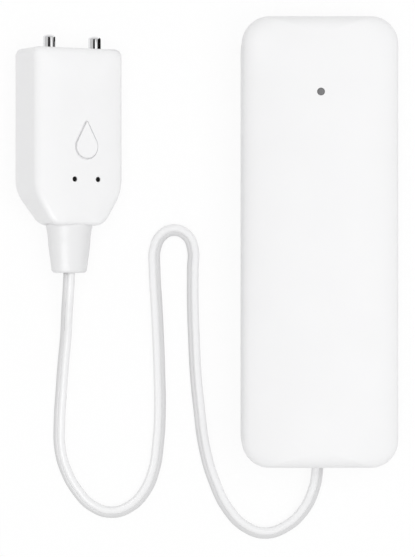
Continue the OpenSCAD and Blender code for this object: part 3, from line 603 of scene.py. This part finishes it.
def probe_block(name, inset, low, high, neck):
    """Block with the probe's outline drawn in by an inset: tapered to the neck, corners rounded."""
    half = PROBE_W / 2 - inset
    obj = block(name, (-half, inset, low), (half, PROBE_L - inset, high))
    run = (PROBE_W - neck) / 2
    slope = Vector((TAPER_L, -run, 0)).normalized()
    for side in (-1, 1):
        normal = Vector((side * slope.x, slope.y, 0))
        spot = Vector((side * PROBE_W / 2, TAPER_L, 0)) - normal * inset
        edit(obj)
        bpy.ops.mesh.select_all(action="SELECT")
        bpy.ops.mesh.bisect(plane_co=spot, plane_no=normal, clear_outer=True, use_fill=True)
    edit(obj, "EDGE")
    pick_edges(obj, lambda a, b: max(a.y, b.y) < inset + NEAR and max(a.z, b.z) < low + NEAR)
    bpy.ops.transform.resize(value=(NECK_BACK_W / neck, 1, 1), center_override=(0, 0, low))
    top = PROBE_L - inset
    for radius, test in (
        (PROBE_TOP_CORNER, lambda y: y > top - MM),
        (PROBE_SHOULDER, lambda y: inset + MM < y < top - 5 * MM),
        (PROBE_EDGE, lambda y: y < inset + 0.5 * MM),
    ):
        edit(obj, "EDGE")
        pick_edges(obj, lambda a, b: abs(a.z - b.z) > 0.1 * MM and (a - b).xy.length < 1.5 * MM and test(a.y))
        offset = max(radius - inset, 0.3 * MM)
        bpy.ops.mesh.bevel(offset=offset, segments=8, profile=0.5, affect="EDGES", clamp_overlap=True)
    outward(obj)
    return obj


def make_probe():
    """Probe housing with rounded edges and a crowned front, its back plate and the raised drop."""
    back, front = -PROBE_D / 2, PROBE_D / 2
    slope = math.atan(2 * PROBE_CROWN / CROWN_W)
    arc = [i / 8 for i in range(9)]
    bend = math.pi / 2 - slope
    edge_in = PROBE_EDGE * (1 - math.sin(slope))
    edge_z = front - PROBE_CROWN - PROBE_EDGE * math.cos(slope)
    shell = probe_block("probe_housing", 0, back + PROBE_BACK_EDGE, edge_z, NECK_W)
    reach, middle_y = PROBE_L / (1 + END_SHARE), PROBE_L * END_SHARE / (1 + END_SHARE)
    round_front = [(PROBE_EDGE * (1 - math.cos(bend * a)), edge_z + PROBE_EDGE * math.sin(bend * a))
                   for a in arc]
    crown = [(edge_in + CROWN_W * a, front - PROBE_CROWN * (1 - a) ** 2) for a in arc[1:]]
    draw_rings(shell, 1, PROBE_W / 2, reach, middle_y, round_front + crown)
    quarter = math.pi / 2
    round_back = [(PROBE_BACK_EDGE * (1 - math.cos(quarter * a)),
                   back + PROBE_BACK_EDGE * (1 - math.sin(quarter * a))) for a in arc]
    draw_rings(shell, -1, PROBE_W / 2, reach, middle_y, round_back)
    roof = front - PROBE_CROWN - PROBE_FRONT_WALL
    cut(shell, probe_block("hollow", PROBE_WALL, back - MM, roof, NECK_BACK_W))
    for node in ("contact_pin_left", "contact_pin_right"):
        spot = pin_spot(node)
        inside = (spot.x, PROBE_L - 2 * PROBE_WALL, spot.z)
        drill(shell, PIN_D + HOLE_CLEAR, inside, (spot.x, PROBE_L + MM, spot.z))
    for x in DOT_X:
        drill(shell, DOT_D + HOLE_CLEAR, (x, DOT_Y, 0), (x, DOT_Y, PROBE_D))
    cut(shell, drop_block("drop_groove", DROP_GROOVE_W, front - DROP_GROOVE_T, front + MM))
    outside = (0, -PROBE_WALL, -RELIEF_BACK)
    drill(shell, RELIEF_NECK_HOLE_D, outside, (0, 2 * PROBE_WALL, -RELIEF_BACK))
    drill(shell, RELIEF_TOP_D + RELIEF_CLEAR, outside, (0, RELIEF_SINK, -RELIEF_BACK))
    soften(shell, 0.06 * MM, 40, 2)
    write_place(shell, PROBE_SEAT)
    fit(shell, probe_white, "probe_shell")
    plate = node_copy("probe_back", "probe_back_plate")
    soften(plate, 0.12 * MM, 40, 2)
    fit(plate, probe_white, "probe_back")
    make_drop_mark()


def drop_block(name, grow, low, high):
    """Block with a water drop's outline, drawn outwards by grow: a disc and a point joined."""
    rest_selection()
    bpy.ops.mesh.primitive_circle_add(vertices=96, radius=DROP_R + grow, location=(0, 0, low))
    drop = bpy.context.object
    drop.name = name
    write_place(drop)
    edit(drop, "VERT")
    bpy.ops.mesh.primitive_circle_add(vertices=24, radius=DROP_POINT + grow,
                                      location=(0, DROP_L - DROP_POINT, low))
    bpy.ops.mesh.select_all(action="SELECT")
    bpy.ops.mesh.extrude_region_move(TRANSFORM_OT_translate={"value": (0, 0, high - low)})
    bpy.ops.mesh.select_all(action="SELECT")
    bpy.ops.mesh.convex_hull()
    bpy.ops.mesh.select_all(action="SELECT")
    bpy.ops.mesh.dissolve_limited(angle_limit=FLAT_ANGLE)
    outward(drop)
    write_place(drop, Matrix.Translation((MARK_X, DROP_Y, 0)))
    return drop


def make_drop_mark():
    """Raised water drop on the probe's front, standing in its own groove."""
    front = PROBE_D / 2
    drop = drop_block("drop_mark", 0, front - DROP_GROOVE_T - 0.1 * MM, front + DROP_H)
    soften(drop, FINE_EDGE, 50)
    write_place(drop, PROBE_SEAT)
    drop.data.materials.append(probe_white)
    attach(drop, "unit")


def pin_spot(node):
    """Axis of a pin in the probe's own flat frame."""
    low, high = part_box(node)
    return PROBE_SEAT.inverted() @ ((low + high) / 2)


def make_pins():
    """Turned pins: domed tip with a fine shoulder, flange behind the wall and tail on the board."""
    radius, reach, dome = PIN_D / 2, 1.7 * MM, 0.5 * MM
    inner = PROBE_L - PROBE_WALL
    flange_r, flange_t, tail_l = radius + 0.2 * MM, 0.8 * MM, 4 * MM
    flange_lo = inner - flange_t
    shoulder = PROBE_L + reach
    body = [(PIN_TAIL_R, flange_lo - tail_l), (PIN_TAIL_R, flange_lo), (flange_r, flange_lo),
            (flange_r, inner), (radius, inner), (radius, shoulder)]
    tip = [(radius * math.cos(math.radians(a)), shoulder + dome * math.sin(math.radians(a)))
           for a in range(10, 90, 10)]
    tip.append((radius * 0.04, shoulder + dome))
    for node in ("contact_pin_left", "contact_pin_right"):
        pin = turned(node.replace("contact", "sensing"), body + tip, 64)
        spot = pin_spot(node)
        write_place(pin, PROBE_SEAT @ Matrix.Translation((spot.x, 0, spot.z)) @ ALONG_Y)
        soften(pin, 0, 40)
        fit(pin, pin_plate, node)


def make_drip_contacts():
    """Two dark studs, flush in the probe's front."""
    board_top = pin_spot("contact_pin_left").z - PIN_TAIL_R
    top = PROBE_D / 2 - 0.08 * MM
    studs = []
    for x in DOT_X:
        stud = turned("drip_studs", [(DOT_D / 2, board_top), (DOT_D / 2, top - 0.1 * MM),
                                     (DOT_D * 0.42, top - 0.02 * MM), (DOT_D * 0.2, top)], 32)
        write_place(stud, PROBE_SEAT @ Matrix.Translation((x, DOT_Y, 0)))
        soften(stud, 0)
        studs.append(stud)
    take(studs[0])
    studs[1].select_set(True)
    bpy.ops.object.join()
    fit(studs[0], dark_plate, "drip_contacts")


def make_strain_relief():
    """Flared sleeve round the cord, with a rounded lower rim and a bore."""
    neck_r, collar_r = 1.7 * MM, 2.0 * MM
    top_r, mid_r, end_r, flare, rim = RELIEF_TOP_D / 2, 3.5 * MM, 2.95 * MM, 3.0 * MM, 0.6 * MM
    round_rim = [(end_r - rim + rim * math.cos(math.radians(a)),
                  -RELIEF_L + rim - rim * math.sin(math.radians(a))) for a in range(90, -1, -15)]
    flared = [(mid_r + (top_r - mid_r) * (1 - i / 8) ** 2, -flare * i / 8) for i in range(8, -1, -1)]
    neck = [(top_r, RELIEF_SINK), (neck_r, RELIEF_SINK), (neck_r, PROBE_WALL),
            (collar_r, PROBE_WALL), (collar_r, PROBE_WALL + COLLAR_T)]
    sleeve = turned("cord_strain_relief", round_rim + flared + neck, 72)
    drill(sleeve, CORD_HOLE_D, (0, 0, -RELIEF_L - MM), (0, 0, PROBE_WALL + COLLAR_T + MM))
    soften(sleeve, 0.05 * MM, 40, 2)
    write_place(sleeve, RELIEF_SEAT @ ALONG_Y)
    fit(sleeve, relief_white, "strain_relief")


# Cord and leads, along the same points as the solids

LOOSE = [
    (-41.4, -8, 6.4), (-41.7, -11.5, 4.7), (-42, -15.5, 2.4), (-42.5, -20, 0.7),
    (-42.9, -25, 0), (-43.2, -30, 0), (-43.1, -34.5, 0), (-42.1, -38.2, 0),
    (-40.2, -41.6, 0), (-37.6, -44.2, 0), (-34.4, -45.2, 0), (-31.3, -44.2, 0),
    (-28.8, -41.6, 0), (-27.3, -38, 0), (-26.6, -33.5, 0), (-26.3, -28, 0),
    (-26.4, -22, 0), (-26.6, -16, 0), (-26.9, -10, 0), (-27.2, -4.5, 0),
    (-27.1, -0.9, 0), (-26, 1.3, 0), (-23.9, 2.2, 0), (-21.8, 1.3, 0),
    (-20.8, -0.9, 0), (-20.8, -4.5, 0), (-20.8, -10, 0), (-20.6, -16, 0),
    (-20.3, -22, 0), (-19.7, -28, 0), (-18.9, -34, 0), (-17.2, -40, 0),
    (-14.8, -44.8, 0), (-12, -47.6, 0), (-8.6, -48.7, 0), (-5.2, -47.6, 0.2),
    (-2.3, -44.9, 0.9), (-0.6, -41.4, 2),
]
cord_lift = Vector((0, 0, CORD_HALF_H + CORD_FLOOR_GAP))
cord_in_l = PROBE_WALL + COLLAR_T + CORD_D / 2
cord_end = Vector((0, case_lo.y + WALL + CORD_IN_CASE, cover_hi.z + CORD_OVER_COVER + CORD_D / 2))
cord_route = [RELIEF_SEAT @ Vector((0, cord_in_l, 0)), RELIEF_SEAT @ Vector((0, -RELIEF_L, 0))]
cord_route += [Vector(p) * MM + cord_lift for p in LOOSE]
cord_route += [Vector((0, case_lo.y - WALL, cord_end.z)), cord_end]


def cord_profile():
    """Outline of the two cores side by side, rolled, as a closed flat curve."""
    curve = bpy.data.curves.new("cord_profile", "CURVE")
    spline = curve.splines.new("POLY")
    spline.points.add(2 * CORE_STEPS - 1)
    spline.use_cyclic_u = True
    arc = math.tau - 2 * math.acos(CORE_STEP / CORE_D)
    for i, point in enumerate(spline.points):
        turn = math.pi * (i // CORE_STEPS) + math.pi - CORD_ROLL
        angle = turn - arc / 2 + arc * (i % CORE_STEPS) / CORE_STEPS
        x = CORE_STEP / 2 * math.cos(turn) + CORE_D / 2 * math.cos(angle)
        y = CORE_STEP / 2 * math.sin(turn) + CORE_D / 2 * math.sin(angle)
        point.co = (x * CORE_FIT, y * CORE_FIT, 0, 1)
    obj = bpy.data.objects.new("cord_profile", curve)
    bpy.context.scene.collection.objects.link(obj)
    return obj


def shade_lower_core(cord, path):
    """Gives the lower core, on the right of the route, a darker grey: painted shade standing for the shade
    the upper core casts on it.
    """
    tree = KDTree(len(path))
    for i, place in enumerate(path):
        tree.insert(place, i)
    tree.balance()
    cord.data.materials.append(cord_painted_shade)
    for face in cord.data.polygons:
        place, i, _ = tree.find(face.center)
        along = path[min(i + 1, len(path) - 1)] - path[max(i - 1, 0)]
        right = along.cross(Vector((0, 0, 1))).normalized()
        off = face.center - place
        lower = off.dot(right) * math.cos(CORD_ROLL) - off.z * math.sin(CORD_ROLL) > 0
        face.material_index = 1 if lower else 0


def make_cord():
    """White two-core cord from the probe to the case, lying on the table in two bends and a loop."""
    line = wire("cord_line", cord_route, 0, 12)
    take(line)
    bpy.ops.object.convert(target="MESH")
    path = [v.co.copy() for v in line.data.vertices]
    bpy.data.objects.remove(line)
    profile = cord_profile()
    cord = wire("sensor_cord_jacket", cord_route, 0, 12)
    cord.data.twist_mode = "Z_UP"
    cord.data.bevel_mode = "OBJECT"
    cord.data.bevel_object = profile
    as_mesh(cord)
    bpy.data.objects.remove(profile)
    fit(cord, cord_white, "sensor_cord")
    # Paints the lower core darker, as painted shade under the upper core
    shade_lower_core(cord, path)


def make_leads():
    """Two leads in the case and two in the probe, from the cord's ends."""
    low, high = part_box("lead_plug")
    plug_x, plug_y, plug_z = (low.x + high.x) / 2, (low.y + high.y) / 2, low.z
    board_top = pin_spot("contact_pin_left").z - PIN_TAIL_R
    plug_in, board_gap = 0.6 * MM, 0.1 * MM
    for side, word, material in ((-1, "left", lead_red), (1, "right", lead_black)):
        x0, x1 = side * CORD_D / 4, plug_x + side * PLUG_PITCH / 2
        low_z = plug_z - 2 * LEAD_D
        third, spread_y = (x1 - x0) / 3, side * LEAD_D * 4 / 5
        lead = wire("case_lead_" + word, [
            Vector((x0, cord_end.y, cord_end.z)), Vector((x0, cord_end.y + LEAD_D, cord_end.z)),
            Vector((x0 + third, cord_end.y + 2.5 * LEAD_D + spread_y, cord_end.z + LEAD_D / 4)),
            Vector((x1 - third, plug_y - 3 * LEAD_D + spread_y, cord_end.z + LEAD_D)),
            Vector((x1, plug_y - LEAD_D, low_z - LEAD_D / 2)), Vector((x1, plug_y, low_z + LEAD_D)),
            Vector((x1, plug_y, plug_z + plug_in))], LEAD_D * LEAD_FIT, 6, 16)
        as_mesh(lead)
        fit(lead, material, "lead_wire_" + word)
        x0, x1 = side * CORD_D / 4, MARK_X + side * LEAD_D
        z1 = board_top + LEAD_D / 2
        inner = wire("probe_lead_" + word, [PROBE_SEAT @ Vector(p) for p in (
            (x0, cord_in_l, -RELIEF_BACK), (x0, cord_in_l + LEAD_D, -RELIEF_BACK),
            ((x0 + x1) / 2, TAPER_L - LEAD_D, z1 + LEAD_D / 4), (x1, TAPER_L + LEAD_D, z1 + board_gap),
            (x1, TAPER_L + 4 * LEAD_D, z1 + board_gap))], LEAD_D * LEAD_FIT, 6, 16)
        as_mesh(inner)
        fit(inner, material, "probe_wire_" + word)


# Table, light and camera

PHOTO_W, PHOTO_H = 415, 557
CASE_PX_W = 157
CASE_PX_X, CASE_PX_Y = 320.3, 242.0
EDGE_Z = 17 * MM
CAMERA_Z = 480 * MM
SENSOR = 36
TABLE_SIZE = 6
TABLE_DROP = 0.02 * MM
TABLE_WHITE = 0.88
SURROUND_LEVEL = 0.66
LAMP_SIZE = 0.9
LAMP_POWER = 6.8
LAMP_PLACE = (0.12, -0.03, 1.18)

# Studio cards: name, lower and higher edge in millimetres, and glow
CARDS = [
    ("card_above", (-120, -50, 200), (20, 90, 200), 0),
    ("card_beside", (-34.5, 32.5, 0.5), (-20, 38, 16), 0),
    ("card_bright", (-32, 30, 30), (-14, 40, 30), 1.2),
    ("card_left", (-60, -65, 30), (-44, -8.5, 30), 3.5),
    ("card_relief", (-51, -8.5, 20), (-42, 0.3, 20), 2.6),
]


def make_camera():
    """Camera straight above, framed as the photograph, with the case's width as its scale."""
    metres_per_px = case_w / CASE_PX_W
    data = bpy.data.cameras.new("camera")
    data.sensor_width = SENSOR
    data.lens = SENSOR * (CAMERA_Z - EDGE_Z) / (PHOTO_H * metres_per_px)
    camera = bpy.data.objects.new("camera", data)
    camera.location = ((PHOTO_W / 2 - CASE_PX_X) * metres_per_px, (CASE_PX_Y - PHOTO_H / 2) * metres_per_px,
                       CAMERA_Z)
    bpy.context.scene.collection.objects.link(camera)
    bpy.context.scene.camera = camera


def make_table():
    """White table that keeps a soft shadow."""
    rest_selection()
    bpy.ops.mesh.primitive_plane_add(size=TABLE_SIZE, location=(0, 0, -TABLE_DROP))
    table = bpy.context.object
    table.name = "table"
    write_place(table)
    material, tree, shader, _ = new_material("table_white")
    shader.inputs["Base Color"].default_value = (0.9, 0.9, 0.9, 1)
    shader.inputs["Roughness"].default_value = 0.9
    shader.inputs["Specular IOR Level"].default_value = 0
    white = tree.nodes.new("ShaderNodeEmission")
    white.inputs["Color"].default_value = (1, 1, 1, 1)
    path = tree.nodes.new("ShaderNodeLightPath")
    seen = path.outputs["Is Camera Ray"]
    for ray in ("Is Glossy Ray", "Is Transmission Ray"):
        share = tree.nodes.new("ShaderNodeMath")
        share.operation = "ADD"
        share.use_clamp = True
        tree.links.new(seen, share.inputs[0])
        tree.links.new(path.outputs[ray], share.inputs[1])
        seen = share.outputs["Value"]
    fade = tree.nodes.new("ShaderNodeMath")
    fade.operation = "MULTIPLY"
    fade.inputs[1].default_value = TABLE_WHITE
    tree.links.new(seen, fade.inputs[0])
    mix = tree.nodes.new("ShaderNodeMixShader")
    tree.links.new(fade.outputs["Value"], mix.inputs["Fac"])
    tree.links.new(shader.outputs["BSDF"], mix.inputs[1])
    tree.links.new(white.outputs["Emission"], mix.inputs[2])
    tree.links.new(mix.outputs["Shader"], tree.nodes["Material Output"].inputs["Surface"])
    table.data.materials.append(material)


def make_light():
    """Soft light from straight above and a pale surround."""
    world = bpy.data.worlds.new("surround")
    bpy.context.scene.world = world
    world.use_nodes = True
    surround = world.node_tree.nodes["Background"]
    surround.inputs["Color"].default_value = (1, 1, 1, 1)
    surround.inputs["Strength"].default_value = SURROUND_LEVEL
    data = bpy.data.lights.new("overhead", "AREA")
    data.shape = "DISK"
    data.size = LAMP_SIZE
    data.energy = LAMP_POWER
    lamp = bpy.data.objects.new("overhead", data)
    lamp.location = LAMP_PLACE
    lamp.rotation_euler = (-lamp.location).to_track_quat("-Z", "Y").to_euler()
    bpy.context.scene.collection.objects.link(lamp)
    lamp.visible_glossy = False


def make_card(name, low, high, glow):
    """Studio card that only the metal and the gloss see; it runs from its lower to its higher edge."""
    rest_selection()
    low, high = Vector(low) * MM, Vector(high) * MM
    span = high - low
    width = math.hypot(span.x, span.z)
    bpy.ops.mesh.primitive_plane_add(size=1, location=(low + high) / 2,
                                     rotation=(0, -math.atan2(span.z, span.x), 0))
    card = bpy.context.object
    card.name = name
    card.scale = (width, span.y, 1)
    write_place(card)
    material, _, shader, _ = new_material(name + "_surface")
    shader.inputs["Base Color"].default_value = (0.01, 0.01, 0.01, 1)
    shader.inputs["Roughness"].default_value = 1
    shader.inputs["Specular IOR Level"].default_value = 0
    shader.inputs["Emission Color"].default_value = (1, 1, 1, 1)
    shader.inputs["Emission Strength"].default_value = glow
    card.data.materials.append(material)
    card.visible_camera = False
    card.visible_diffuse = False
    card.visible_shadow = False


make_camera()
make_cord()
make_front_shell()
make_light_pipe()
make_cover()
make_inner_pieces()
make_button()
make_cell("cell_left", "left_cell", False)
make_cell("cell_right", "right_cell", True)
make_spring("negative_spring", "negative_coil", True)
make_spring("bridge_spring", "bridge_coil", False)
make_leads()
make_probe()
make_pins()
make_drip_contacts()
make_strain_relief()
make_table()
make_light()
for card in CARDS:
    make_card(*card)
bpy.context.scene.view_settings.view_transform = "Standard"
rest_selection()
